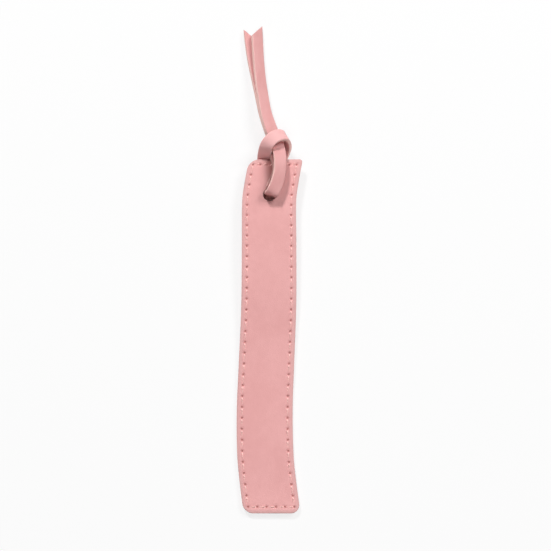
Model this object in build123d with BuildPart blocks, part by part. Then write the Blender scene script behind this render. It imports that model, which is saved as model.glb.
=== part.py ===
import os
from math import cos, radians, sin, sqrt, tan

from build123d import *

os.makedirs("parts", exist_ok=True)

# Strip: two leather panels sewn back to back
strip_length = 133.6
strip_width = 20.5
leather_thickness = 0.8
bottom_corner = 3.5
top_left_corner = 4.0
top_right_corner = 1.2
# Sideways wave of the strip's middle line: share of the half length, then distance off the straight
sway = [
    (-1.0, 0.99),
    (-0.85, -0.34),
    (-0.69, -1.41),
    (-0.44, -1.71),
    (-0.19, -1.11),
    (0.15, -0.26),
    (0.5, -0.16),
    (0.76, -0.11),
    (0.87, 0.84),
    (1.0, 2.39),
]
# Side view: flat on the table, a slight lift at the toe, a long rise to the laced end
toe_run = 12.0
toe_lift = 0.5
rise_start = -25.0
rise_run = 67.0

# Seam: lockstitch round the edge
side_inset = 1.9
end_inset = 2.2
side_stitches = 32
bottom_stitches = 5
top_stitches = 6
prick_size = 0.85
thread_size = 0.5
thread_crown = 0.5
thread_gap = 0.05
thread_dip = 0.1
groove_width = 0.8
groove_depth = 0.5

# Lace: one flat strap doubled through the hole
hole_radius = 2.5
hole_from_top = 14.3
hole_off_axis = 0.05
lace_width = 4.9
lace_thickness = 1.4
lace_gap = 0.25
leg_lift = 0.1
leg_clearance = 0.25
tail_cut = 46.0
# The lace gathers to a narrower, thinner strand over this reach above and below the hole
gather = 0.5
gather_reach = 3.0
pinch = 0.2
# Slit at the root of each tail, where it turns
tail_gap = 0.1
# Greatest distance between the sections that shape the lace
section_spacing = 1.3

# Height of the lace's two legs behind the strip, and of the strip's end above them
outer_leg = leg_lift + lace_thickness / 2
inner_leg = outer_leg + lace_thickness + lace_gap
end_raise = inner_leg + lace_thickness / 2 + leg_clearance

half_length = strip_length / 2
half_width = strip_width / 2
seam_offset = half_width - side_inset
seam_end = half_length - end_inset
rise_radius = (rise_run**2 + end_raise**2) / (4 * end_raise)
toe_radius = (toe_run**2 + toe_lift**2) / (2 * toe_lift)
toe_y = toe_run - half_length
rise_end = rise_start + rise_run
strip_thickness = 2 * leather_thickness
hole_y = half_length - hole_from_top
tall = 40.0

# In the hole the two strands lie one behind the other, drawn up toward the top edge
inner_strand = 1.0
outer_strand = inner_strand - lace_thickness
front = end_raise + strip_thickness

# Lace route from the front tail's root down through the hole, up behind the strip, round both
# strands and back through the hole: place beside the hole's centre, then the way the grain side faces
hitch_route = [
    ((0.4, 26.5, 6.0), (0.26, 0, 0.97)),
    ((2.0, 21.7, 6.4), (0.15, 0.1, 0.98)),
    ((3.65, 16.9, front + 2.7), (0.15, 0.2, 0.97)),
    ((4.0, 11.9, front + 4.2), (0.42, 0.05, 0.9)),
    ((3.75, 7.5, front + 4.4), (0.48, 0, 0.88)),
    ((2.7, 3.1, front + 4.4), (0.45, -0.15, 0.88)),
    ((0.85, -0.9, front + 4.2), (-0.05, -0.75, 0.65)),
    ((0.3, outer_strand - 0.05, front + 1.9), (-0.25, -0.97, 0.05)),
    ((0, outer_strand, front - 0.4), (0, -1, 0)),
    ((0, outer_strand, outer_leg), (0, -0.7, -0.7)),
    ((-0.1, 3.5, outer_leg), (0, 0, -1)),
    ((-0.9, 7.1, outer_leg), (0, 0, -1)),
    ((-1.9, 10.9, outer_leg), (0, 0, -1)),
    ((-2.3, 14.5, outer_leg), (0, 0, -1)),
    ((-2.35, 15.6, 2.9), (0, 0.75, -0.65)),
    ((-1.7, 16.6, 7.2), (0.1, 0.8, -0.6)),
    ((-0.9, 18.6, 10.2), (0.2, 0.4, -0.9)),
    ((1.6, 21.3, 10.6), (0.05, 0.1, -1)),
    ((4.4, 22.7, 9.2), (-0.35, -0.3, -0.85)),
    ((6.3, 22.7, 7.2), (-0.8, -0.5, -0.25)),
    ((6.85, 20.4, 4.4), (-0.85, -0.4, 0.4)),
    ((5.4, 17.9, inner_leg), (-0.35, -0.05, 0.93)),
    ((3.75, 14.4, inner_leg), (0.05, 0, 1)),
    ((1.9, 9.9, inner_leg), (0, 0, 1)),
    ((0.2, 5.1, inner_leg), (0, 0, 1)),
    ((0, inner_strand, inner_leg), (0, 0.7, 0.7)),
    ((0, inner_strand, front + 0.1), (0, 1, 0)),
    ((0.35, inner_strand + 0.2, front + 1.75), (0.05, 0.85, -0.5)),
    ((1.6, 3.5, front + 2.5), (-0.25, 0.3, -0.9)),
    ((2.9, 7.1, front + 2.75), (-0.45, 0, -0.89)),
    ((3.3, 10.9, front + 2.65), (-0.4, 0, -0.92)),
    ((3.6, 14.5, front + 1.65), (-0.2, -0.2, -0.95)),
    ((3.05, 18.5, 5.0), (-0.15, -0.15, -0.97)),
    ((1.65, 22.1, 4.5), (-0.2, -0.1, -0.97)),
    ((0, 27.1, 4.1), (-0.26, 0, -0.97)),
]
front_tail_route = [
    ((0.4, 26.5, 6.0), (0.26, 0, 0.97)),
    ((-0.6, 29.5, 5.75), (0.42, 0, 0.9)),
    ((-1.7, 33.7, 5.0), (0.52, 0, 0.85)),
    ((-2.7, 40.2, 4.05), (0.58, 0, 0.81)),
    ((-3.8, 47.7, 3.6), (0.59, 0, 0.81)),
    ((-4.55, 56.2, 3.0), (0.59, 0, 0.81)),
    ((-5.0, 64.7, 2.5), (0.57, 0, 0.82)),
    ((-5.3, 71.3, 2.2), (0.56, 0, 0.83)),
]
rear_tail_route = [
    ((0, 27.1, 4.1), (0.26, 0, 0.97)),
    ((-0.99, 30.1, 3.86), (0.4, 0, 0.91)),
    ((-2.2, 34.2, 3.1), (0.5, 0, 0.86)),
    ((-3.4, 40.5, 2.4), (0.55, 0, 0.83)),
    ((-4.9, 48.2, 2.0), (0.5, 0, 0.86)),
    ((-6.5, 56.7, 1.6), (0.35, 0, 0.94)),
    ((-7.5, 64.3, 1.2), (0.2, 0, 0.98)),
    ((-8.0, 69.7, 1.0), (0.12, 0, 0.99)),
]


def back_height(y):
    if y < toe_y:
        return toe_radius - sqrt(toe_radius**2 - (toe_y - y) ** 2)
    if y < rise_start:
        return 0.0
    if y < rise_start + rise_run / 2:
        return rise_radius - sqrt(rise_radius**2 - (y - rise_start) ** 2)
    if y < rise_end:
        return end_raise - rise_radius + sqrt(rise_radius**2 - (rise_end - y) ** 2)
    return end_raise


def side_line(offset):
    return Spline(*[(off + offset, share * half_length) for share, off in sway])


def lie_line(lift):
    middle = (rise_start + rise_run / 2, lift + end_raise / 2)
    toe = TangentArc((toe_y, lift), (-half_length, lift + toe_lift), tangent=(-1, 0))
    Line((toe_y, lift), (rise_start, lift))
    TangentArc((rise_start, lift), middle, tangent=(1, 0))
    TangentArc((rise_end, lift + end_raise), middle, tangent=(-1, 0))
    end = Line((rise_end, lift + end_raise), (half_length, lift + end_raise))
    return toe @ 1, end @ 1


def ribbon(low, high):
    with BuildSketch(Plane.YZ) as side_view:
        with BuildLine():
            low_toe, low_end = lie_line(low)
            high_toe, high_end = lie_line(high)
            Line(low_toe, high_toe)
            Line(low_end, high_end)
        make_face()
    return side_view.sketch


def smooth_stations(route, spacing):
    points = [Vector(place[0] + hole_off_axis, place[1] + hole_y, place[2]) for place, facing in route]
    facings = [Vector(*facing) for place, facing in route]
    planes = []
    last = len(route) - 2
    for i in range(1, last + 1):
        bend = []
        for values in (points, facings):
            start = values[0] if i == 1 else (values[i - 1] + values[i]) / 2
            finish = values[-1] if i == last else (values[i] + values[i + 1]) / 2
            bend.append((start, values[i], finish))
        steps = max(3, round((bend[0][2] - bend[0][0]).length / spacing))
        shares = [step / steps for step in range(steps)]
        if i == last:
            shares.append(1.0)
        for share in shares:
            weights = ((1 - share) ** 2, 2 * share * (1 - share), share**2)
            place, facing = [a * weights[0] + b * weights[1] + c * weights[2] for a, b, c in bend]
            a, b, c = bend[0]
            along = (b - a) * (1 - share) + (c - b) * share
            planes.append(Plane(origin=place, x_dir=along.cross(facing), z_dir=along))
    return planes


def gathered(place):
    aside = Vector(place.X - hole_off_axis, place.Y - hole_y).length / (2.4 * hole_radius)
    above = (place.Z - end_raise - leather_thickness) / gather_reach
    return max(0, 1 - aside**2 - above**2)


def lace_sections(planes):
    sections = []
    for plane in planes:
        share = gathered(plane.origin)
        with BuildSketch(plane) as section:
            Rectangle(lace_width * (1 - gather * share), lace_thickness * (1 - pinch * share))
        sections.append(section.sketch)
    return sections


def across(edge, y):
    low, high = 0.0, 1.0
    for _ in range(30):
        middle = (low + high) / 2
        if (edge @ middle).Y < y:
            low = middle
        else:
            high = middle
    return (edge @ low).X


def side_bands(width, reach):
    with BuildSketch() as bands:
        for side in (-1, 1):
            with BuildLine():
                inner = side_line(side * (seam_offset - width / 2))
                outer = side_line(side * (seam_offset + width / 2))
                Line(inner @ 0, outer @ 0)
                Line(inner @ 1, outer @ 1)
            make_face()
        Rectangle(2 * strip_width, 2 * reach, mode=Mode.INTERSECT)
    return bands.sketch


def crowned_stitches(plane, knots, end_legs):
    half = thread_size / 2
    drop = leather_thickness - thread_gap
    first, last = knots[0], knots[-1]
    path = []
    for place, height in knots if end_legs else knots[1:-1]:
        path.append((place - half, height + thread_gap))
        path.append((place - half, height - drop))
        path.append((place + half, height - drop))
        path.append((place + half, height + thread_gap))
    if end_legs:
        path[0] = (first[0] - half, first[1] + thread_dip)
        path[-1] = (last[0] + half, last[1] + thread_dip)
    else:
        path.insert(0, (first[0], first[1] + thread_gap))
        path.append((last[0], last[1] + thread_gap))
    with BuildSketch(plane) as stitches:
        with BuildLine():
            for (a, low), (b, high) in zip(knots, knots[1:]):
                crown = ((a + b) / 2, (low + high) / 2 + thread_crown)
                ThreePointArc((a, low + thread_dip), crown, (b, high + thread_dip))
            Polyline((first[0], first[1] + thread_dip), *path, (last[0], last[1] + thread_dip))
        make_face()
    return stitches.sketch


def sunk_stitches(plane, knots, end_legs):
    half = thread_size / 2
    bar = groove_depth - thread_gap
    head = leather_thickness - thread_gap
    reach = half if end_legs else 0
    first, last = knots[0], knots[-1]
    path = [(place, height + thread_gap) for place, height in reversed(knots[1:-1])]
    path.insert(0, (last[0] + reach, last[1] + thread_gap))
    path.append((first[0] - reach, first[1] + thread_gap))
    if not end_legs:
        path.append((first[0], first[1] + bar))
    for place, height in knots if end_legs else knots[1:-1]:
        path.append((place - half, height + bar))
        path.append((place - half, height + head))
        path.append((place + half, height + head))
        path.append((place + half, height + bar))
    if not end_legs:
        path.append((last[0], last[1] + bar))
    with BuildSketch(plane) as stitches:
        with BuildLine():
            Polyline(*path, close=True)
        make_face()
    return stitches.sketch


def tip_plane(plane, slant):
    setback = lace_width / 2 * tan(radians(tail_cut))
    lean = plane.z_dir * cos(radians(tail_cut)) + plane.x_dir * slant * sin(radians(tail_cut))
    return Plane(origin=plane.origin - plane.z_dir * setback, x_dir=plane.y_dir, z_dir=lean)


# Outline of both panels
with BuildSketch() as outline:
    with BuildLine():
        left_edge = side_line(-half_width)
        right_edge = side_line(half_width)
        Line(left_edge @ 0, right_edge @ 0)
        Line(left_edge @ 1, right_edge @ 1)
    make_face()
    top_left, top_right = outline.vertices().group_by(Axis.Y)[-1].sort_by(Axis.X)
    fillet(outline.vertices().group_by(Axis.Y)[0], bottom_corner)
    fillet(top_left, top_left_corner)
    fillet(top_right, top_right_corner)

# Holes of the seam, evenly pricked along each side and across each end
with BuildLine() as left_seam:
    side_line(-seam_offset)
with BuildLine() as right_seam:
    side_line(seam_offset)

side_pitch = 2 * seam_end / side_stitches
side_rows = [i * side_pitch - seam_end for i in range(side_stitches + 1)]
left_row = [(across(left_seam.edge(), y), y) for y in side_rows]
right_row = [(across(right_seam.edge(), y), y) for y in side_rows]
end_rows = []
for end, stitches in ((0, bottom_stitches), (-1, top_stitches)):
    (left, y), (right, y) = left_row[end], right_row[end]
    end_pitch = (right - left) / stitches
    end_rows.append([(left + i * end_pitch, y) for i in range(stitches + 1)])
seam_holes = left_row + right_row + end_rows[0][1:-1] + end_rows[1][1:-1]

# Front panel
with BuildPart() as front_panel:
    extrude(ribbon(leather_thickness, strip_thickness), amount=strip_width, both=True)
    with BuildSketch():
        add(outline.sketch)
    extrude(amount=tall, mode=Mode.INTERSECT)
    with BuildSketch():
        with Locations((hole_off_axis, hole_y)):
            Circle(hole_radius)
        with Locations(*seam_holes):
            Rectangle(prick_size, prick_size, rotation=45)
    extrude(amount=tall, mode=Mode.SUBTRACT)
front_panel.part.label = "front_panel"
export_step(front_panel.part, "parts/front_panel.step")

# Back panel, with a groove that takes the lower thread
with BuildPart() as groove:
    extrude(ribbon(-groove_depth, groove_depth), amount=strip_width, both=True)
    with BuildSketch():
        add(side_bands(groove_width, seam_end + groove_width / 2))
        for row in end_rows:
            with Locations(((row[0][0] + row[-1][0]) / 2, row[0][1])):
                Rectangle(row[-1][0] - row[0][0], groove_width)
    extrude(amount=tall, both=True, mode=Mode.INTERSECT)

with BuildPart() as back_panel:
    extrude(ribbon(0, leather_thickness), amount=strip_width, both=True)
    with BuildSketch():
        add(outline.sketch)
    extrude(amount=tall, mode=Mode.INTERSECT)
    add(groove.part, mode=Mode.SUBTRACT)
    with BuildSketch():
        with Locations((hole_off_axis, hole_y)):
            Circle(hole_radius)
        with Locations(*seam_holes):
            Rectangle(prick_size, prick_size, rotation=45)
    extrude(amount=tall, mode=Mode.SUBTRACT)
back_panel.part.label = "back_panel"
export_step(back_panel.part, "parts/back_panel.step")

# Needle thread: a crowned stitch on the front from hole to hole, drawn down to the middle at each
with BuildPart() as needle_thread:
    side_knots = [(y, back_height(y) + strip_thickness) for y in side_rows]
    extrude(crowned_stitches(Plane.YZ, side_knots, True), amount=strip_width, both=True)
    with BuildSketch():
        add(side_bands(thread_size, half_length))
    extrude(amount=tall, mode=Mode.INTERSECT)
    for row in end_rows:
        end_knots = [(x, back_height(y) + strip_thickness) for x, y in row]
        end_view = Plane.XZ.offset(-row[0][1])
        extrude(crowned_stitches(end_view, end_knots, False), amount=thread_size / 2, both=True)
needle_thread.part.label = "needle_thread"
export_step(needle_thread.part, "parts/needle_thread.step")

# Bobbin thread: lies in the groove, drawn up to the middle at each hole
with BuildPart() as bobbin_thread:
    side_knots = [(y, back_height(y)) for y in side_rows]
    extrude(sunk_stitches(Plane.YZ, side_knots, True), amount=strip_width, both=True)
    with BuildSketch():
        add(side_bands(thread_size, half_length))
    extrude(amount=tall, mode=Mode.INTERSECT)
    for row in end_rows:
        end_knots = [(x, back_height(y)) for x, y in row]
        end_view = Plane.XZ.offset(-row[0][1])
        extrude(sunk_stitches(end_view, end_knots, False), amount=thread_size / 2, both=True)
bobbin_thread.part.label = "bobbin_thread"
export_step(bobbin_thread.part, "parts/bobbin_thread.step")

# Lace: the hitch in the middle and its two free tails, cut on the skew
hitch_planes = smooth_stations(hitch_route, section_spacing)
with BuildPart() as lace_hitch:
    loft(lace_sections(hitch_planes))
lace_hitch.part.label = "lace_hitch"
export_step(lace_hitch.part, "parts/lace_hitch.step")

front_tail_planes = smooth_stations(front_tail_route, 2 * section_spacing)
front_tail_planes[0] = front_tail_planes[0].offset(tail_gap)
with BuildPart() as front_tail:
    loft(lace_sections(front_tail_planes))
    split(bisect_by=tip_plane(front_tail_planes[-1], -1), keep=Keep.BOTTOM)
front_tail.part.label = "front_tail"
export_step(front_tail.part, "parts/front_tail.step")

rear_tail_planes = smooth_stations(rear_tail_route, 2 * section_spacing)
rear_tail_planes[0] = rear_tail_planes[0].offset(tail_gap)
with BuildPart() as rear_tail:
    loft(lace_sections(rear_tail_planes))
    split(bisect_by=tip_plane(rear_tail_planes[-1], 1), keep=Keep.BOTTOM)
rear_tail.part.label = "rear_tail"
export_step(rear_tail.part, "parts/rear_tail.step")
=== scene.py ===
import math

import bpy
from mathutils import Matrix, Vector, kdtree, noise


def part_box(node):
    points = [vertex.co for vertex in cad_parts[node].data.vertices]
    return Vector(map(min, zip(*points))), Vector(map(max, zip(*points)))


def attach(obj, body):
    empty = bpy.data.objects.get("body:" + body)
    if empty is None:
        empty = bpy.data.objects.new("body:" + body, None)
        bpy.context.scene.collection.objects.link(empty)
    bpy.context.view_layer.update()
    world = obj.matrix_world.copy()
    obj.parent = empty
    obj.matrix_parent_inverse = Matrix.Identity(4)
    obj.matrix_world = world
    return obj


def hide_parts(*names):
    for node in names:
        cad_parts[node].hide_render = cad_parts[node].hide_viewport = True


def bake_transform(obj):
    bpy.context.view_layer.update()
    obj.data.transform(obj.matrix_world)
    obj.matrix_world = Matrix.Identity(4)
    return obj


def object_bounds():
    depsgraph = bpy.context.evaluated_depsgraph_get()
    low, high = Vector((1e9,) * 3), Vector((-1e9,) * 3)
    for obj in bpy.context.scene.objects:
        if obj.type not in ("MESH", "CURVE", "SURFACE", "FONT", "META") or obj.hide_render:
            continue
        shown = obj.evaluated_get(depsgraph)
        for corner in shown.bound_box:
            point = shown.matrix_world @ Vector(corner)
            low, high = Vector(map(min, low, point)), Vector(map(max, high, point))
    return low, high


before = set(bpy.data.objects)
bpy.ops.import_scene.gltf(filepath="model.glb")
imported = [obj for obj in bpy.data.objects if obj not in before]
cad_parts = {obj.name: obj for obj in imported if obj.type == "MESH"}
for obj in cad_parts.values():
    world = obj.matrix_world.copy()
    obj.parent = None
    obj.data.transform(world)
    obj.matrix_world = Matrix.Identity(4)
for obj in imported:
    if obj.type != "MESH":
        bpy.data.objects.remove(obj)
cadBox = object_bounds()
# sizes in the dictionaries are in millimetres, angles in degrees, texture scales per metre
mm = 0.001


def clamped(value):
    return max(0.0, min(1.0, value))


def pick(piece):
    bpy.ops.object.select_all(action="DESELECT")
    bpy.context.view_layer.objects.active = piece
    piece.select_set(True)


def faceOut():
    # normals of the active piece turned outwards
    bpy.ops.object.mode_set(mode="EDIT")
    bpy.ops.mesh.select_all(action="SELECT")
    bpy.ops.mesh.normals_make_consistent(inside=False)
    bpy.ops.object.mode_set(mode="OBJECT")


print("frame loaded:", len(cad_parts), "nodes")


# Shader nodes
class Wire:
    # one output of a node tree; sums and products written on it become Math nodes
    def __init__(self, tree, socket=None):
        self.tree = tree
        self.socket = socket

    def node(self, kind, settings, values, output=0):
        made = self.tree.nodes.new("ShaderNode" + kind)
        for name, value in settings.items():
            setattr(made, name, value)
        for name, value in values.items():
            if isinstance(value, Wire):
                self.tree.links.new(value.socket, made.inputs[name])
            else:
                made.inputs[name].default_value = value
        return Wire(self.tree, made.outputs[output]) if made.outputs else None

    def maths(self, operation, first, second):
        return self.node("Math", {"operation": operation}, {0: first, 1: second})

    def __add__(self, other):
        return self.maths("ADD", self, other)

    def __radd__(self, other):
        return self.maths("ADD", other, self)

    def __rsub__(self, other):
        return self.maths("SUBTRACT", other, self)

    def __mul__(self, other):
        return self.maths("MULTIPLY", self, other)

    def __rmul__(self, other):
        return self.maths("MULTIPLY", other, self)

    def __abs__(self):
        return self.maths("ABSOLUTE", self, 0.0)

    def ramp(self, low, high):
        return self.node(
            "MapRange",
            {"interpolation_type": "SMOOTHSTEP"},
            {"Value": self, "From Min": low, "From Max": high},
        )

    def mix(self, first, second):
        # 6, 7 and 2 are the colour sockets among the node's many of one name
        return self.node("Mix", {"data_type": "RGBA"}, {0: self, 6: first, 7: second}, 2)

    def layer(self, name, output="Fac"):
        return self.node("Attribute", {"attribute_name": name}, {}, output)

    def objectPlace(self):
        return self.node("TexCoord", {}, {}, "Object")

    def cloud(self, where, scale, detail=3.0, rough=0.55):
        return self.node(
            "TexNoise",
            {},
            {"Vector": where, "Scale": scale, "Detail": detail, "Roughness": rough},
        )

    def cells(self, where, scale, feature):
        return self.node("TexVoronoi", {"feature": feature}, {"Vector": where, "Scale": scale})

    def stretched(self, where, scale):
        return self.node("Mapping", {}, {"Vector": where, "Scale": scale})


def newFinish(name):
    finish = bpy.data.materials.new(name)
    finish.use_nodes = True
    finish.node_tree.nodes.clear()
    return finish, Wire(finish.node_tree)


def shadeWith(wire, colour, roughness, relief, depth, shine):
    bump = wire.node("Bump", {}, {"Height": relief, "Strength": 1.0, "Distance": depth * mm})
    values = {
        "Base Color": colour,
        "Roughness": roughness,
        "Normal": bump,
        "Specular IOR Level": shine,
    }
    shader = wire.node("BsdfPrincipled", {}, values)
    wire.node("OutputMaterial", {}, {"Surface": shader})


# Camera, at the photograph's angle
cameraSet = {
    "target": (2.25, 22.1, 0.0),
    "elevation": 75.0,
    "distance": 520.0,
    "lens": 90.03,
    "sensor": 36.0,
    "clipStart": 10.0,
}


def placeCamera():
    tilt = math.radians(cameraSet["elevation"])
    away = Vector((0, -math.cos(tilt), math.sin(tilt))) * cameraSet["distance"]
    bpy.ops.object.select_all(action="DESELECT")
    bpy.ops.object.camera_add(
        location=(Vector(cameraSet["target"]) + away) * mm,
        rotation=(math.pi / 2 - tilt, 0, 0),
    )
    camera = bpy.context.object
    camera.data.lens = cameraSet["lens"]
    camera.data.sensor_width = cameraSet["sensor"]
    camera.data.clip_start = cameraSet["clipStart"] * mm
    bpy.context.scene.camera = camera


placeCamera()
print("camera placed")


# Lace: one flat leather strap, in three pieces
lace = {
    "width": 4.9,
    "thickness": 1.4,
    "rounding": 0.32,
    "cornerTurns": (30, 60, 90),
    "flatSteps": 8,
    "fineness": 12,
    "smoothAngle": 50.0,
    "unevenWidth": 0.05,
    "unevenRun": 5.0,
    "ragged": 0.05,
    "raggedRun": 2.2,
    "raggedSlice": 3.0,
    "tipCut": 46.0,
    "tipInset": 0.04,
    "hole": (0.05, 52.5),
    "outerLeg": 0.8,
    "innerLeg": 2.45,
    "outerStrand": -0.4,
    "innerStrand": 1.0,
    "front": 5.0,
    "gather": 0.5,
    "pinch": 0.2,
    "gatherReach": 3.0,
    "gatherRound": 6.0,
    "gatherLevel": 4.2,
    # painted shade on the strap inside the hole: the heights where it fades and how far from the hole
    # it reaches
    "holeShadeHeights": (9.0, 7.0),
    "holeShadeReach": 4.6,
    "bendReach": 8.0,
    "ringPoint": 16.3,
    "ringReach": 4.0,
    # painted shade on the inner side of the ring and on the strand under the other one
    "innerBendShade": 0.25,
    "coveredPoint": 30.6,
    "coveredReach": 3.0,
    "coveredShade": 0.75,
    "face": (0.77, 0.39, 0.38, 1),
    "faceDeep": (0.72, 0.34, 0.33, 1),
    "cut": (0.98, 0.66, 0.61, 1),
    "cutDeep": (0.90, 0.55, 0.50, 1),
    # painted shade colour for the strap in the hole, inside the ring and under the other strand
    "paintedShade": (0.22, 0.075, 0.065, 1),
    # paler stretched leather with a painted highlight on the top of the ring
    "stretchedHighlight": (0.95, 0.53, 0.52, 1),
    "cutBand": (0.16, 0.05),
    "toneScale": 240,
    "toneStretch": (0.45, 1, 1),
    "poreScale": 3600,
    "streakScale": 2600,
    "streakStretch": (0.12, 1, 1),
    "fibreScale": 5200,
    "fibreStretch": (0.5, 1, 2.4),
    "roughness": 0.44,
    "streakRoughness": 0.12,
    "cutRoughness": 0.3,
    "reliefDepth": 0.035,
    "shine": 0.35,
}
outerLeg, innerLeg = lace["outerLeg"], lace["innerLeg"]
outerStrand, innerStrand = lace["outerStrand"], lace["innerStrand"]
front = lace["front"]

# place beside the hole and height, then the way the upper face looks
hitchRoute = [
    ((0.4, 26.5, 6.0), (0.26, 0, 0.97)),
    ((2.0, 21.7, 6.4), (0.15, 0.1, 0.98)),
    ((3.65, 16.9, front + 2.7), (0.15, 0.2, 0.97)),
    ((4.0, 11.9, front + 4.2), (0.42, 0.05, 0.9)),
    ((3.75, 7.5, front + 4.4), (0.48, 0, 0.88)),
    ((2.7, 3.1, front + 4.4), (0.45, -0.15, 0.88)),
    ((0.85, -0.9, front + 4.2), (-0.05, -0.75, 0.65)),
    ((0.3, outerStrand - 0.05, front + 1.9), (-0.25, -0.97, 0.05)),
    ((0, outerStrand, front - 0.4), (0, -1, 0)),
    ((0, outerStrand, outerLeg), (0, -0.7, -0.7)),
    ((-0.1, 3.5, outerLeg), (0, 0, -1)),
    ((-0.9, 7.1, outerLeg), (0, 0, -1)),
    ((-1.9, 10.9, outerLeg), (0, 0, -1)),
    ((-2.3, 14.5, outerLeg), (0, 0, -1)),
    ((-2.4, 15.6, 2.9), (0, 0.75, -0.65)),
    ((-2.0, 16.6, 7.2), (0.1, 0.8, -0.6)),
    ((-1.05, 18.6, 10.2), (0.2, 0.4, -0.9)),
    ((1.6, 21.3, 10.6), (0.05, 0.1, -1)),
    ((4.4, 22.7, 9.2), (-0.35, -0.3, -0.85)),
    ((6.3, 22.7, 7.2), (-0.8, -0.5, -0.25)),
    ((6.85, 20.4, 4.4), (-0.85, -0.4, 0.4)),
    ((5.4, 17.9, innerLeg), (-0.35, -0.05, 0.93)),
    ((3.75, 14.4, innerLeg), (0.05, 0, 1)),
    ((1.9, 9.9, innerLeg), (0, 0, 1)),
    ((0.2, 5.1, innerLeg), (0, 0, 1)),
    ((0, innerStrand, innerLeg), (0, 0.7, 0.7)),
    ((0, innerStrand, front + 0.1), (0, 1, 0)),
    ((0.35, innerStrand + 0.2, front + 1.75), (0.05, 0.85, -0.5)),
    ((1.6, 3.5, front + 2.5), (-0.25, 0.3, -0.9)),
    ((3.15, 7.1, front + 2.63), (-0.45, 0, -0.89)),
    ((3.4, 10.9, front + 2.6), (-0.4, 0, -0.92)),
    ((2.4, 14.5, front + 1.62), (-0.2, -0.2, -0.95)),
    ((3.45, 16.6, front + 0.8), (-0.18, -0.18, -0.96)),
    ((3.05, 18.5, 5.0), (-0.15, -0.15, -0.97)),
    ((1.65, 22.1, 4.5), (-0.2, -0.1, -0.97)),
    ((0, 27.1, 4.1), (-0.26, 0, -0.97)),
]
frontTailRoute = [
    ((0.4, 26.5, 6.0), (0.26, 0, 0.97)),
    ((-0.6, 29.5, 5.75), (0.42, 0, 0.9)),
    ((-1.7, 33.7, 5.0), (0.52, 0, 0.85)),
    ((-2.7, 40.2, 4.05), (0.58, 0, 0.81)),
    ((-3.8, 47.7, 3.6), (0.59, 0, 0.81)),
    ((-4.55, 56.2, 3.0), (0.59, 0, 0.81)),
    ((-5.0, 64.7, 2.5), (0.57, 0, 0.82)),
    ((-5.3, 71.3, 2.2), (0.56, 0, 0.83)),
]
rearTailRoute = [
    ((0, 27.1, 4.1), (0.26, 0, 0.97)),
    ((-0.99, 30.1, 3.86), (0.4, 0, 0.91)),
    ((-2.2, 34.2, 3.1), (0.5, 0, 0.86)),
    ((-3.4, 40.5, 2.4), (0.55, 0, 0.83)),
    ((-4.9, 48.2, 2.0), (0.5, 0, 0.86)),
    ((-6.5, 56.7, 1.6), (0.35, 0, 0.94)),
    ((-7.5, 64.3, 1.2), (0.2, 0, 0.98)),
    ((-8.0, 69.7, 1.0), (0.12, 0, 0.99)),
]


def readSpline(name, places):
    curve = bpy.data.curves.new(name, "CURVE")
    curve.dimensions = "3D"
    curve.resolution_u = lace["fineness"]
    spline = curve.splines.new("NURBS")
    spline.points.add(len(places) - 1)
    for point, place in zip(spline.points, places):
        point.co = (*place, 1)
    spline.order_u = 3
    spline.use_endpoint_u = True
    holder = bpy.data.objects.new(name, curve)
    bpy.context.scene.collection.objects.link(holder)
    bpy.context.view_layer.update()
    line = bpy.data.meshes.new_from_object(holder)
    read = [vertex.co.copy() for vertex in line.vertices]
    bpy.data.objects.remove(holder)
    bpy.data.curves.remove(curve)
    bpy.data.meshes.remove(line)
    return read


def laceSection():
    # points (across, height) round the strap: upper face, right edge, lower face, left edge
    flat = lace["width"] / 2 - lace["rounding"]
    side = lace["thickness"] / 2 - lace["rounding"]
    turns = lace["cornerTurns"]
    corners = [(turn, 1) for turn in turns] + [(turn, -1) for turn in reversed(turns)]
    outline = []
    for sign in (1, -1):
        for step in range(lace["flatSteps"] + 1):
            across = flat * (2 * step / lace["flatSteps"] - 1)
            outline.append((sign * across, sign * lace["thickness"] / 2))
        for turn, end in corners:
            out = flat + lace["rounding"] * math.sin(math.radians(turn))
            up = side + lace["rounding"] * math.cos(math.radians(turn))
            outline.append((sign * out, sign * end * up))
    return outline


def gatherAt(centre):
    # 1 where the strap is drawn through the hole, 0 away from it
    holeX, holeY = lace["hole"]
    aside = math.hypot(centre.x - holeX, centre.y - holeY) / lace["gatherRound"]
    above = (centre.z - lace["gatherLevel"]) / lace["gatherReach"]
    return max(0, 1 - aside**2 - above**2)


def holeShadeAt(place):
    # painted shade: 1 on the strap inside the hole, 0 on the strap above it
    holeX, holeY = lace["hole"]
    aside = math.hypot(place.x - holeX, place.y - holeY)
    high, low = lace["holeShadeHeights"]
    return clamped((high - place.z) / (high - low)) * clamped(lace["holeShadeReach"] - aside)


def tautAt(point):
    # 1 at the top of the ring, by the number of the route's point
    return clamped(1 - ((point - lace["ringPoint"]) / lace["ringReach"]) ** 2)


def coveredShadeAt(point):
    # painted shade on the strand that lies under the other one
    away = abs(point - lace["coveredPoint"])
    return lace["coveredShade"] * clamped(lace["coveredReach"] - away)


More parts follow.
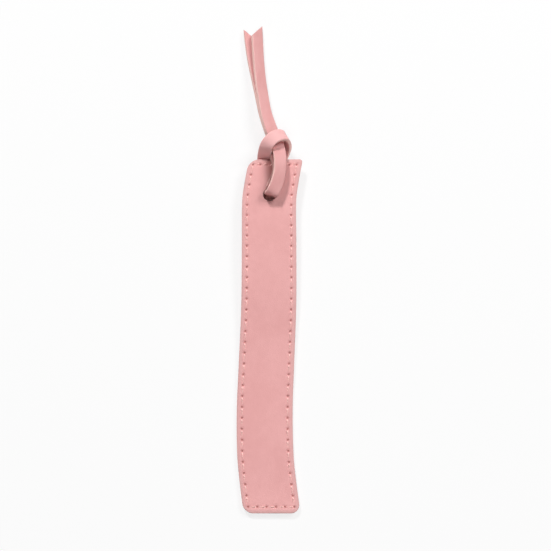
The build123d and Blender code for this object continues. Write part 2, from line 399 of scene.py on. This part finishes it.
def traceStrap(name, route, seed):
    # middle line of the strap, then the points of its rings and the values that they carry
    holeX, holeY = lace["hole"]
    places = [Vector((x + holeX, y + holeY, z)) for (x, y, z), facing in route]
    middle = readSpline(name, places)
    upper = readSpline(name, [place + Vector(facing) for place, (spot, facing) in zip(places, route)])
    section = laceSection()
    points, lay = [], []
    layers = {"paintedShade": [], "stretchAndHighlight": []}
    along = 0.0
    for i, centre in enumerate(middle):
        ahead = middle[min(i + 1, len(middle) - 1)] - middle[max(i - 1, 0)]
        sideways = ahead.cross(upper[i] - centre).normalized()
        outward = sideways.cross(ahead).normalized()
        if i:
            along += (centre - middle[i - 1]).length
        point = i * (len(route) - 1) / (len(middle) - 1)
        taut, covered = tautAt(point), coveredShadeAt(point)
        drawn = gatherAt(centre)
        uneven = lace["unevenWidth"] * noise.noise((along / lace["unevenRun"], seed, 0))
        wide = 1 - lace["gather"] * drawn + uneven / lace["width"]
        thick = 1 - lace["pinch"] * drawn
        for across, height in section:
            slit = (along / lace["raggedRun"], seed + across, lace["raggedSlice"])
            ragged = lace["ragged"] * noise.noise(slit)
            spread = across * (wide + ragged / lace["width"])
            place = centre + sideways * spread + outward * height * thick
            points.append(place * mm)
            lay.append((along * mm, across * mm, height * mm))
            # on the ring the upper face is the inner side of the bend, and gets painted shade
            bend = lace["innerBendShade"] * taut if height > 0 else 0.0
            layers["paintedShade"].append(max(holeShadeAt(place), bend, covered))
            # the lower face at the top of the ring is its outer side: paler stretched leather and
            # painted highlight
            layers["stretchAndHighlight"].append(0.0 if height > 0 else taut)
    return middle, points, lay, layers


def makeStrap(name, route, seed):
    middle, points, lay, layers = traceStrap(name, route, seed)
    size = len(laceSection())
    faces = []
    for ring in range(len(middle) - 1):
        for k in range(size):
            a, b = ring * size + k, ring * size + (k + 1) % size
            faces.append((a, b, b + size, a + size))
    faces.append(tuple(reversed(range(size))))
    faces.append(tuple(range(len(points) - size, len(points))))
    mesh = bpy.data.meshes.new(name)
    mesh.from_pydata(points, [], faces)
    layData = mesh.attributes.new("lay", "FLOAT_VECTOR", "POINT").data
    for spot, value in zip(layData, lay):
        spot.vector = value
    for layer, values in layers.items():
        mesh.attributes.new(layer, "FLOAT", "POINT").data.foreach_set("value", values)
    strap = bpy.data.objects.new(name, mesh)
    bpy.context.scene.collection.objects.link(strap)
    pick(strap)
    faceOut()
    return strap, [centre * mm for centre in middle]


def cutTip(strap, path, slant):
    # skew cut across the free end, with a pale raw end face
    ahead = (path[-1] - path[-2]).normalized()
    lastRing = [vertex.co for vertex in strap.data.vertices][-len(laceSection()):]
    sideways = (lastRing[lace["flatSteps"]] - lastRing[0]).normalized()
    lean = math.radians(lace["tipCut"])
    setBack = lace["width"] / 2 * math.tan(lean) * mm
    bpy.ops.object.mode_set(mode="EDIT")
    bpy.ops.mesh.select_all(action="SELECT")
    bpy.ops.mesh.bisect(
        plane_co=path[-1] - ahead * setBack,
        plane_no=ahead * math.cos(lean) + sideways * slant * math.sin(lean),
        use_fill=True,
        clear_outer=True,
    )
    bpy.ops.mesh.select_mode(type="FACE")
    bpy.ops.mesh.inset(thickness=lace["tipInset"] * mm)
    bpy.ops.object.mode_set(mode="OBJECT")
    capSpots = {i for face in strap.data.polygons if face.select for i in face.vertices}
    layData = strap.data.attributes["lay"].data
    for i in capSpots:
        old = layData[i].vector
        layData[i].vector = (old[0], lace["width"] / 2 * mm, old[2])
    kept = [place for place in path if (place - path[-1]).dot(ahead) < -setBack]
    return kept + [path[-1] - ahead * setBack]


def laceLeather():
    finish, wire = newFinish("lace_leather")
    lay = wire.layer("lay", "Vector")
    across = wire.node("SeparateXYZ", {}, {0: lay}, "Y")
    half = lace["width"] / 2
    bandStart, bandEnd = lace["cutBand"]
    edge = abs(across).ramp((half - bandStart) * mm, (half - bandEnd) * mm)
    tone = wire.cloud(wire.stretched(lay, lace["toneStretch"]), lace["toneScale"], detail=4)
    pores = wire.cells(lay, lace["poreScale"], "F1")
    streaks = wire.cloud(wire.stretched(lay, lace["streakStretch"]), lace["streakScale"])
    along = wire.stretched(lay, lace["fibreStretch"])
    fibres = wire.cloud(along, lace["fibreScale"], detail=4, rough=0.7)
    face = tone.ramp(0.3, 0.7).mix(lace["faceDeep"], lace["face"])
    raw = fibres.ramp(0.32, 0.66).mix(lace["cutDeep"], lace["cut"])
    # paler stretched leather and painted highlight on the outer side of the ring's top
    skin = (wire.layer("stretchAndHighlight") * (0.7 + 0.3 * tone)).mix(face, lace["stretchedHighlight"])
    # painted shade in the hole, inside the ring and under the other strand
    colour = wire.layer("paintedShade").mix(edge.mix(skin, raw), lace["paintedShade"])
    roughness = lace["roughness"] + lace["streakRoughness"] * streaks + lace["cutRoughness"] * edge
    relief = (1 - edge) * (0.55 * pores + 0.35 * streaks) + edge * fibres
    shadeWith(wire, colour, roughness, relief, lace["reliefDepth"], lace["shine"])
    return finish


laceFinish = laceLeather()
laceHitch, hitchPath = makeStrap("lace_loop", hitchRoute, 2)
frontTail, frontPath = makeStrap("front_lace_end", frontTailRoute, 11)
frontPath = cutTip(frontTail, frontPath, -1)
rearTail, rearPath = makeStrap("rear_lace_end", rearTailRoute, 23)
rearPath = cutTip(rearTail, rearPath, 1)
for strap in (laceHitch, frontTail, rearTail):
    strap.data.materials.append(laceFinish)
    pick(strap)
    bpy.ops.object.shade_smooth_by_angle(angle=math.radians(lace["smoothAngle"]))

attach(laceHitch, "strip")
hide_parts("lace_hitch")
for strap, path, node, body in (
    (frontTail, frontPath, "front_tail", "front_end"),
    (rearTail, rearPath, "rear_tail", "rear_end"),
):
    ahead = (path[1] - path[0]).normalized()
    path[0] + ahead * lace["bendReach"] * mm
    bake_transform(strap)
    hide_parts(node)
    run = sum((b - a).length for a, b in zip(path, path[1:]))
print("lace laid:", len(hitchPath), "rings in the hitch")


# Strip: two leather panels sewn back to back
strip = {
    "halfLength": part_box("front_panel")[1].y / mm,
    "halfWidth": 10.25,
    "panel": 0.8,
    "sway": [
        (-1.0, 0.99),
        (-0.85, -0.34),
        (-0.69, -1.41),
        (-0.44, -1.71),
        (-0.19, -1.11),
        (0.15, -0.26),
        (0.5, -0.16),
        (0.76, -0.11),
        (0.87, 0.84),
        (1.0, 2.39),
    ],
    "bottomCorner": 3.5,
    "topLeftCorner": 4.0,
    "topRightCorner": 1.2,
    "toeRun": 12.0,
    "toeLift": 0.5,
    "riseStart": -25.0,
    "riseRun": 67.0,
    "columns": 41,
    "rows": 267,
    "holeRadius": 2.5,
    "holeSides": 120,
    "punchLength": 30.0,
    "edgeRoll": 0.2,
    "edgeReach": 1.3,
    "waver": 0.07,
    "waverRun": (7.0, 11.0),
    "deepest": 0.66,
    "glueLine": 0.01,
    "rimBevel": 0.14,
    "rimSegments": 3,
    "rimAngle": 55.0,
    "smoothAngle": 50.0,
    "rimBand": 0.05,
    "rimFade": 0.15,
    "marginReach": 1.6,
    # painted shadow beside the lace on the front face: where it starts and ends and how far it reaches
    "laceShadowFrom": (0.2, 54.5),
    "laceShadowTo": (1.2, 65.0),
    "laceShadowReach": (0.9, 3.0),
    "pale": (0.85, 0.43, 0.42, 1),
    "deep": (0.795, 0.387, 0.377, 1),
    "rim": (0.70, 0.38, 0.36, 1),
    # painted shade in the pricked stitch holes
    "hole": (0.46, 0.185, 0.17, 1),
    # painted shadow beside the lace
    "paintedShadow": (0.28, 0.08, 0.07, 1),
    "margin": (0.73, 0.43, 0.42, 1),
    "driftScale": 55,
    "mottleScale": 380,
    "pebbleScale": 2300,
    "pebbleEdge": 0.22,
    "poreScale": 7000,
    "fibreScale": 4200,
    "roughness": 0.48,
    "creaseRoughness": 0.1,
    "mottleRoughness": 0.08,
    "rimRoughness": 0.2,
    "reliefDepth": 0.03,
    "shine": 0.35,
}
strip["endRaise"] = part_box("back_panel")[1].z / mm - strip["panel"]
seam = {
    "sideInset": 1.9,
    "endInset": 2.2,
    "sideStitches": 32,
    "bottomStitches": 5,
    "topStitches": 6,
    "fineReach": 1.1,
    "fineCuts": 2,
    "channel": 0.07,
    "channelWidth": 0.7,
    "dent": 0.42,
    "dentWidth": 0.48,
    "shadeUp": 0.04,
    "shadeWidth": 0.5,
    "groove": 0.5,
    "grooveWidth": 0.42,
}
seam["offset"] = strip["halfWidth"] - seam["sideInset"]
seam["end"] = strip["halfLength"] - seam["endInset"]


def swayAt(y):
    # how far the strip's middle line lies to the right, smooth through the named places
    spots = [(share * strip["halfLength"], off) for share, off in strip["sway"]]
    last = len(spots) - 1
    k = max(0, min(last - 1, sum(1 for spot in spots if spot[0] < y) - 1))

    def slope(i):
        (y0, x0), (y1, x1) = spots[max(i - 1, 0)], spots[min(i + 1, last)]
        return (x1 - x0) / (y1 - y0)

    (y0, x0), (y1, x1) = spots[k], spots[k + 1]
    reach = y1 - y0
    t = (y - y0) / reach
    rise = t * t * (3 - 2 * t)
    start = t * (1 - t) ** 2 * reach * slope(k)
    finish = t * t * (t - 1) * reach * slope(k + 1)
    return x0 + (x1 - x0) * rise + start + finish


def lieHeight(y):
    # height of the strip's back: a lifted toe, a flat stretch and a rise on two arcs
    toe = strip["toeRun"] - strip["halfLength"]
    start, run, raised = strip["riseStart"], strip["riseRun"], strip["endRaise"]
    toeRadius = (strip["toeRun"] ** 2 + strip["toeLift"] ** 2) / (2 * strip["toeLift"])
    bend = (run**2 + raised**2) / (4 * raised)
    if y < toe:
        return toeRadius - math.sqrt(toeRadius**2 - (toe - y) ** 2)
    if y < start:
        return 0.0
    if y < start + run / 2:
        return bend - math.sqrt(bend**2 - (y - start) ** 2)
    if y < start + run:
        return raised - bend + math.sqrt(bend**2 - (start + run - y) ** 2)
    return raised


def cornerAt(x, y):
    if y < 0:
        return strip["bottomCorner"]
    return strip["topLeftCorner"] if x < 0 else strip["topRightCorner"]


def roundedPlace(x, y):
    # square corner of the flat grid turned into a round one
    radius = cornerAt(x, y)
    baseX, baseY = strip["halfWidth"] - radius, strip["halfLength"] - radius
    a, b = (abs(x) - baseX) / radius, (abs(y) - baseY) / radius
    if a <= 0 or b <= 0:
        return x, y
    outX = baseX + radius * a * math.sqrt(1 - b * b / 2)
    outY = baseY + radius * b * math.sqrt(1 - a * a / 2)
    return math.copysign(outX, x), math.copysign(outY, y)


def insetAt(x, y):
    # distance in from the cut edge
    radius = cornerAt(x, y)
    a = abs(x) - strip["halfWidth"] + radius
    b = abs(y) - strip["halfLength"] + radius
    return radius - math.hypot(max(a, 0), max(b, 0)) - min(max(a, b), 0)


def seamOff(x, y):
    # distance out from the seam line, negative inside it
    return max(abs(x) - seam["offset"], abs(y) - seam["end"])


def seamRows():
    # holes in flat coordinates: left side, right side, bottom, top
    rows = []
    for side in (-1, 1):
        pitch = 2 * seam["end"] / seam["sideStitches"]
        count = seam["sideStitches"] + 1
        rows.append([(side * seam["offset"], i * pitch - seam["end"]) for i in range(count)])
    for end, stitches in ((-1, seam["bottomStitches"]), (1, seam["topStitches"])):
        pitch = 2 * seam["offset"] / stitches
        rows.append([(i * pitch - seam["offset"], end * seam["end"]) for i in range(stitches + 1)])
    return rows


def holeTree():
    holes = [hole for row in seamRows() for hole in row]
    tree = kdtree.KDTree(len(holes))
    for i, (x, y) in enumerate(holes):
        tree.insert((x, y, 0), i)
    tree.balance()
    return tree


def applyModifier(panel, kind, **settings):
    bpy.context.view_layer.objects.active = panel
    bpy.ops.object.modifier_add(type=kind)
    modifier = panel.modifiers[-1]
    for name, value in settings.items():
        setattr(modifier, name, value)
    bpy.ops.object.modifier_apply(modifier=modifier.name)


def flatGrid(name):
    bpy.ops.object.select_all(action="DESELECT")
    bpy.ops.mesh.primitive_grid_add(
        x_subdivisions=strip["columns"], y_subdivisions=strip["rows"], size=2
    )
    panel = bpy.context.object
    panel.name = name
    panel.data.transform(Matrix.Diagonal((strip["halfWidth"], strip["halfLength"], 1, 1)))

    # finer faces along the seam
    bpy.ops.object.mode_set(mode="EDIT")
    bpy.ops.mesh.select_mode(type="FACE")
    bpy.ops.mesh.select_all(action="DESELECT")
    bpy.ops.object.mode_set(mode="OBJECT")
    for face in panel.data.polygons:
        face.select = abs(seamOff(face.center.x, face.center.y)) < seam["fineReach"]
    bpy.ops.object.mode_set(mode="EDIT")
    bpy.ops.mesh.subdivide(number_cuts=seam["fineCuts"])
    bpy.ops.object.mode_set(mode="OBJECT")
    return panel


def pressFace(panel, tree, level, outside, seed):
    # outline, lie and surface: rolled edge, pressed seam, pricked holes
    waverX, waverY = strip["waverRun"]
    for vertex in panel.data.vertices:
        x, y = roundedPlace(vertex.co.x, vertex.co.y)
        near = tree.find((x, y, 0))[2]
        off = seamOff(x, y)
        roll = strip["edgeRoll"] * max(0, 1 - insetAt(x, y) / strip["edgeReach"]) ** 2
        press = seam["channel"] * math.exp(-((off / seam["channelWidth"]) ** 2))
        if outside < 0:
            press = seam["groove"] * math.exp(-((off / seam["grooveWidth"]) ** 4))
        dent = seam["dent"] * math.exp(-((near / seam["dentWidth"]) ** 2))
        wave = strip["waver"] * noise.noise((x / waverX, y / waverY, seed))
        sunk = min(roll + press + dent, strip["deepest"])
        height = lieHeight(y) + level + outside * (wave - sunk)
        vertex.co = Vector((x + swayAt(y), y, height)) * mm


def thicken(panel, outside):
    # thickness, with a smooth inner face against the other panel
    count = len(panel.data.vertices)
    applyModifier(panel, "SOLIDIFY", thickness=strip["panel"] * mm, offset=-outside)
    for pair in zip(panel.data.vertices[:count], panel.data.vertices[count:]):
        inner, outer = sorted(pair, key=lambda vertex: outside * vertex.co.z)
        middle = lieHeight(outer.co.y / mm) + strip["panel"] + outside * strip["glueLine"]
        inner.co = (outer.co.x, outer.co.y, middle * mm)
    faceOut()


def punchHole(panel):
    holeX, holeY = lace["hole"]
    bpy.ops.object.select_all(action="DESELECT")
    bpy.ops.mesh.primitive_cylinder_add(
        vertices=strip["holeSides"],
        radius=strip["holeRadius"] * mm,
        depth=strip["punchLength"] * mm,
        location=(holeX * mm, holeY * mm, 0),
    )
    punch = bpy.context.object
    bpy.ops.object.transform_apply()
    applyModifier(panel, "BOOLEAN", operation="DIFFERENCE", object=punch, solver="EXACT")
    bpy.data.objects.remove(punch)


def laceShadowAt(x, y):
    # painted shadow: 1 along the left edge of the lace on the front face, fading to the left and to
    # the hole
    (fromX, fromY), (toX, toY) = strip["laceShadowFrom"], strip["laceShadowTo"]
    share = clamped((y - fromY) / (toY - fromY))
    narrow, wide = strip["laceShadowReach"]
    aside = max(0, fromX + (toX - fromX) * share - x) / (narrow + (wide - narrow) * share)
    return math.exp(-(aside**2)) * share * (2 - share)


def markShadeAndTone(panel, tree, outside):
    # values for the leather: painted shade in the pricked holes, cut rims, the painted shadow beside
    # the lace, the margin past the seam
    holeX, holeY = lace["hole"]
    laceShadowEnd = strip["laceShadowTo"][0] + lace["width"] / 2
    wear = {"prickShade": [], "rim": [], "laceShadow": [], "margin": []}
    for vertex in panel.data.vertices:
        x, y = vertex.co.x / mm, vertex.co.y / mm
        flat = x - swayAt(y)
        near = tree.find((flat, y - seam["shadeUp"], 0))[2]
        inset = insetAt(flat, y)
        edge = min(inset, math.hypot(x - holeX, y - holeY) - strip["holeRadius"])
        # painted shade round each pricked stitch hole
        wear["prickShade"].append(math.exp(-((near / seam["shadeWidth"]) ** 2)))
        wear["rim"].append(clamped(1 - (edge - strip["rimBand"]) / strip["rimFade"]))
        wear["laceShadow"].append(laceShadowAt(x, y) if outside > 0 and x < laceShadowEnd else 0.0)
        wear["margin"].append(clamped(strip["marginReach"] - inset))
    for layer, values in wear.items():
        panel.data.attributes.new(layer, "FLOAT", "POINT").data.foreach_set("value", values)


def makePanel(name, level, outside, seed):
    tree = holeTree()
    panel = flatGrid(name)
    pressFace(panel, tree, level, outside, seed)
    thicken(panel, outside)
    punchHole(panel)
    applyModifier(
        panel,
        "BEVEL",
        width=strip["rimBevel"] * mm,
        segments=strip["rimSegments"],
        limit_method="ANGLE",
        angle_limit=math.radians(strip["rimAngle"]),
    )
    pick(panel)
    bpy.ops.object.shade_smooth_by_angle(angle=math.radians(strip["smoothAngle"]))
    markShadeAndTone(panel, tree, outside)
    return panel


def stripLeather():
    finish, wire = newFinish("panel_leather")
    where = wire.objectPlace()
    rim = wire.layer("rim")
    drift = wire.cloud(where, strip["driftScale"])
    mottle = wire.cloud(where, strip["mottleScale"], detail=4)
    pebble = wire.cells(where, strip["pebbleScale"], "DISTANCE_TO_EDGE").ramp(0.0, strip["pebbleEdge"])
    pores = wire.cloud(where, strip["poreScale"])
    fibres = wire.cloud(where, strip["fibreScale"], detail=4, rough=0.7)
    crease = 1 - pebble
    tone = (0.6 * drift + 0.4 * mottle).ramp(0.36, 0.64)
    grain = tone.mix(strip["deep"], strip["pale"])
    # painted shade in the grain's creases
    creaseShaded = (0.25 * crease).mix(grain, strip["deep"])
    # darker, less red margin past the seam
    darkerMargin = (wire.layer("margin") * (0.4 + 0.4 * mottle)).mix(creaseShaded, strip["margin"])
    edged = (rim * (0.65 + 0.35 * fibres)).mix(darkerMargin, strip["rim"])
    # painted shadow beside the lace
    paintedShadow = wire.layer("laceShadow").mix(edged, strip["paintedShadow"])
    # painted shade in the pricked stitch holes
    colour = wire.layer("prickShade").ramp(0.3, 0.85).mix(paintedShadow, strip["hole"])
    uneven = strip["creaseRoughness"] * crease + strip["mottleRoughness"] * mottle
    roughness = strip["roughness"] + uneven + strip["rimRoughness"] * rim
    relief = (1 - rim) * (0.6 * pebble + 0.4 * pores) + rim * fibres
    shadeWith(wire, colour, roughness, relief, strip["reliefDepth"], strip["shine"])
    return finish


panelFinish = stripLeather()
frontPanel = makePanel("front_leather", 2 * strip["panel"], 1, 1.0)
backPanel = makePanel("back_leather", 0.0, -1, 8.0)
for panel, node in ((frontPanel, "front_panel"), (backPanel, "back_panel")):
    panel.data.materials.append(panelFinish)
    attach(panel, "strip")
    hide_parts(node)
    print(panel.name, len(panel.data.polygons), "faces")


# Threads: one twisted stitch, copied from hole to hole
thread = {
    "radius": 0.27,
    "sides": 12,
    "rings": 22,
    "plies": 3,
    "plyDepth": 0.16,
    "twist": 3.2,
    "length": 4.0,
    "frontLie": (-0.12, 0.3, 0.75),
    "backLie": (-0.02, 0.0, 0.35),
    "short": 0.5,
    "sideLean": 0.06,
    "topLean": 0.7,
    "smoothAngle": 60.0,
    "pale": (0.98, 0.62, 0.58, 1),
    "deep": (0.86, 0.46, 0.43, 1),
    "fuzzScale": 9000,
    "fuzzStretch": (0.35, 1, 1),
    "wearScale": 900,
    "roughness": 0.5,
    "fuzzRoughness": 0.25,
    "reliefDepth": 0.03,
    "shine": 0.3,
}


def makeStitch():
    # straight twisted rod of unit length along X
    bpy.ops.object.select_all(action="DESELECT")
    bpy.ops.mesh.primitive_circle_add(
        vertices=thread["sides"],
        radius=thread["radius"],
        fill_type="NGON",
        rotation=(0, math.pi / 2, 0),
    )
    stitch = bpy.context.object
    bpy.ops.object.transform_apply()
    for vertex in stitch.data.vertices:
        angle = math.atan2(vertex.co.z, vertex.co.y)
        vertex.co *= 1 + thread["plyDepth"] * math.cos(thread["plies"] * angle)
        vertex.co.x = -0.5
    bpy.ops.object.mode_set(mode="EDIT")
    bpy.ops.mesh.select_all(action="SELECT")
    step = (1 / thread["rings"], 0, 0)
    turn = 2 * math.pi * thread["twist"] / thread["plies"] / thread["rings"]
    for ring in range(thread["rings"]):
        bpy.ops.mesh.extrude_region_move(TRANSFORM_OT_translate={"value": step})
        bpy.ops.transform.rotate(value=turn, orient_axis="X", center_override=(0, 0, 0))
    faceOut()
    lay = stitch.data.attributes.new("lay", "FLOAT_VECTOR", "POINT").data
    for spot, vertex in zip(lay, stitch.data.vertices):
        spot.vector = (vertex.co.x * thread["length"] * mm, vertex.co.y * mm, vertex.co.z * mm)
    return stitch


def sewOne(stitch, name, start, finish, lie, lean, outside):
    # start and finish are holes in flat coordinates; the rod is bent from one into the other
    seamLevel = 2 * strip["panel"] - seam["channel"] if outside > 0 else seam["groove"]
    ends = [Vector((x + swayAt(y), y, lieHeight(y) + seamLevel)) for x, y in (start, finish)]
    ahead = ends[1] - ends[0]
    run = ahead.length
    ahead.normalize()
    up = (Vector((0, 0, outside)) - ahead * ahead.z * outside).normalized()
    aside = up.cross(ahead)
    middle = (ends[0] + ends[1]) / 2
    crown, crest, sink = lie
    mesh = stitch.data.copy()
    for vertex in mesh.vertices:
        t = 2 * vertex.co.x
        fall = crown + crest * (t - t**3) - (crown + sink) * t**6
        slope = (crest * (1 - 3 * t * t) - 6 * (crown + sink) * t**5) * 2 / run
        steep = math.hypot(1, slope)
        forward = t * (run / 2 - thread["short"]) - vertex.co.z * slope / steep
        sideways = vertex.co.y + lean * t
        height = fall + vertex.co.z / steep
        vertex.co = (middle + ahead * forward + aside * sideways + up * height) * mm
    made = bpy.data.objects.new(name, mesh)
    bpy.context.scene.collection.objects.link(made)
    return made


def sewRows(stitch, name, outside):
    made = []
    lie = thread["frontLie"] if outside > 0 else thread["backLie"]
    left, right, bottom, top = seamRows()
    for row in (left, right, bottom, top):
        lean = thread["topLean"] if row is top else thread["sideLean"]
        for start, finish in zip(row, row[1:]):
            made.append(sewOne(stitch, name, start, finish, lie, lean, outside))
    bpy.ops.object.select_all(action="DESELECT")
    for piece in made:
        piece.select_set(True)
    bpy.context.view_layer.objects.active = made[0]
    bpy.ops.object.join()
    sewn = bpy.context.object
    sewn.name = name
    bpy.ops.object.shade_smooth_by_angle(angle=math.radians(thread["smoothAngle"]))
    return sewn


def sewingThread():
    finish, wire = newFinish("thread")
    lay = wire.layer("lay", "Vector")
    along = wire.stretched(lay, thread["fuzzStretch"])
    fuzz = wire.cloud(along, thread["fuzzScale"], detail=4, rough=0.7)
    wear = wire.cloud(lay, thread["wearScale"])
    colour = (0.6 * fuzz + 0.4 * wear).ramp(0.34, 0.6).mix(thread["deep"], thread["pale"])
    roughness = thread["roughness"] + thread["fuzzRoughness"] * fuzz
    shadeWith(wire, colour, roughness, fuzz, thread["reliefDepth"], thread["shine"])
    return finish


threadFinish = sewingThread()
stitch = makeStitch()
needleThread = sewRows(stitch, "needle_stitches", 1)
bobbinThread = sewRows(stitch, "bobbin_stitches", -1)
bpy.data.objects.remove(stitch)
for sewn, node in ((needleThread, "needle_thread"), (bobbinThread, "bobbin_thread")):
    sewn.data.materials.append(threadFinish)
    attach(sewn, "strip")
    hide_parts(node)
    print(sewn.name, len(sewn.data.polygons), "faces")


# Floor and studio light
studio = {
    "floorSize": 4000.0,
    "floorDrop": 0.06,
    "floorTone": (0.94, 0.94, 0.94, 1),
    "floorGlow": 0.75,
    "white": (1, 1, 1, 1),
    "shade": (0.6, 60.5),
    "shadeReach": (5.5, 12.0),
    "shadeFade": (0.95, 1.25),
    "world": 0.04,
    "distance": 1300.0,
    "lamps": [
        {"from": (-0.28, 0.66, 0.70), "size": 200.0, "power": 10.2},
        {"from": (0.57, 0.42, 0.71), "size": 450.0, "power": 7.4},
        {"from": (0.0, -0.6, 0.8), "size": 600.0, "power": 4.8},
    ],
}


def seenRays(wire):
    # 1 for what the camera sees, straight, mirrored or through glass, 0 for the light that falls
    camera = wire.node("LightPath", {}, {}, "Is Camera Ray")
    glossy = wire.node("LightPath", {}, {}, "Is Glossy Ray")
    clear = wire.node("LightPath", {}, {}, "Is Transmission Ray")
    return wire.maths("MINIMUM", camera + glossy + clear, 1.0)


def layFloor():
    bpy.ops.object.select_all(action="DESELECT")
    bpy.ops.mesh.primitive_plane_add(
        size=studio["floorSize"] * mm, location=(0, 0, -studio["floorDrop"] * mm)
    )
    floor = bpy.context.object
    floor.name = "floor"
    finish, wire = newFinish("floor_white")
    # no glow on the shaded floor under the hole and the hitch
    (x, y), (wide, long) = studio["shade"], studio["shadeReach"]
    spot = {
        "Vector": wire.objectPlace(),
        "Location": (-x / wide, -y / long, 0),
        "Scale": (1 / wide / mm, 1 / long / mm, 0),
    }
    offset = wire.node("Mapping", {}, spot)
    away = wire.node("VectorMath", {"operation": "LENGTH"}, {0: offset}, "Value")
    matte = wire.node("BsdfDiffuse", {}, {"Color": studio["floorTone"]})
    glow = wire.node("Emission", {}, {"Color": studio["white"], "Strength": 1.0})
    share = seenRays(wire) * studio["floorGlow"] * away.ramp(*studio["shadeFade"])
    shader = wire.node("MixShader", {}, {0: share, 1: matte, 2: glow})
    wire.node("OutputMaterial", {}, {"Surface": shader})
    floor.data.materials.append(finish)


def hangLights():
    world = bpy.data.worlds.new("studio")
    bpy.context.scene.world = world
    world.use_nodes = True
    world.node_tree.nodes.clear()
    wire = Wire(world.node_tree)
    strength = studio["world"] + (1 - studio["world"]) * seenRays(wire)
    sky = wire.node("Background", {}, {"Color": studio["white"], "Strength": strength})
    wire.node("OutputWorld", {}, {"Surface": sky})
    aim = (cadBox[0] + cadBox[1]) / 2
    for lamp in studio["lamps"]:
        fromWhere = Vector(lamp["from"]).normalized()
        bpy.ops.object.select_all(action="DESELECT")
        bpy.ops.object.light_add(type="AREA", location=aim + fromWhere * studio["distance"] * mm)
        light = bpy.context.object
        light.rotation_euler = fromWhere.to_track_quat("Z", "Y").to_euler()
        light.data.energy = lamp["power"]
        light.data.size = lamp["size"] * mm


layFloor()
hangLights()
bpy.context.scene.view_settings.view_transform = "Standard"
print("studio lit")
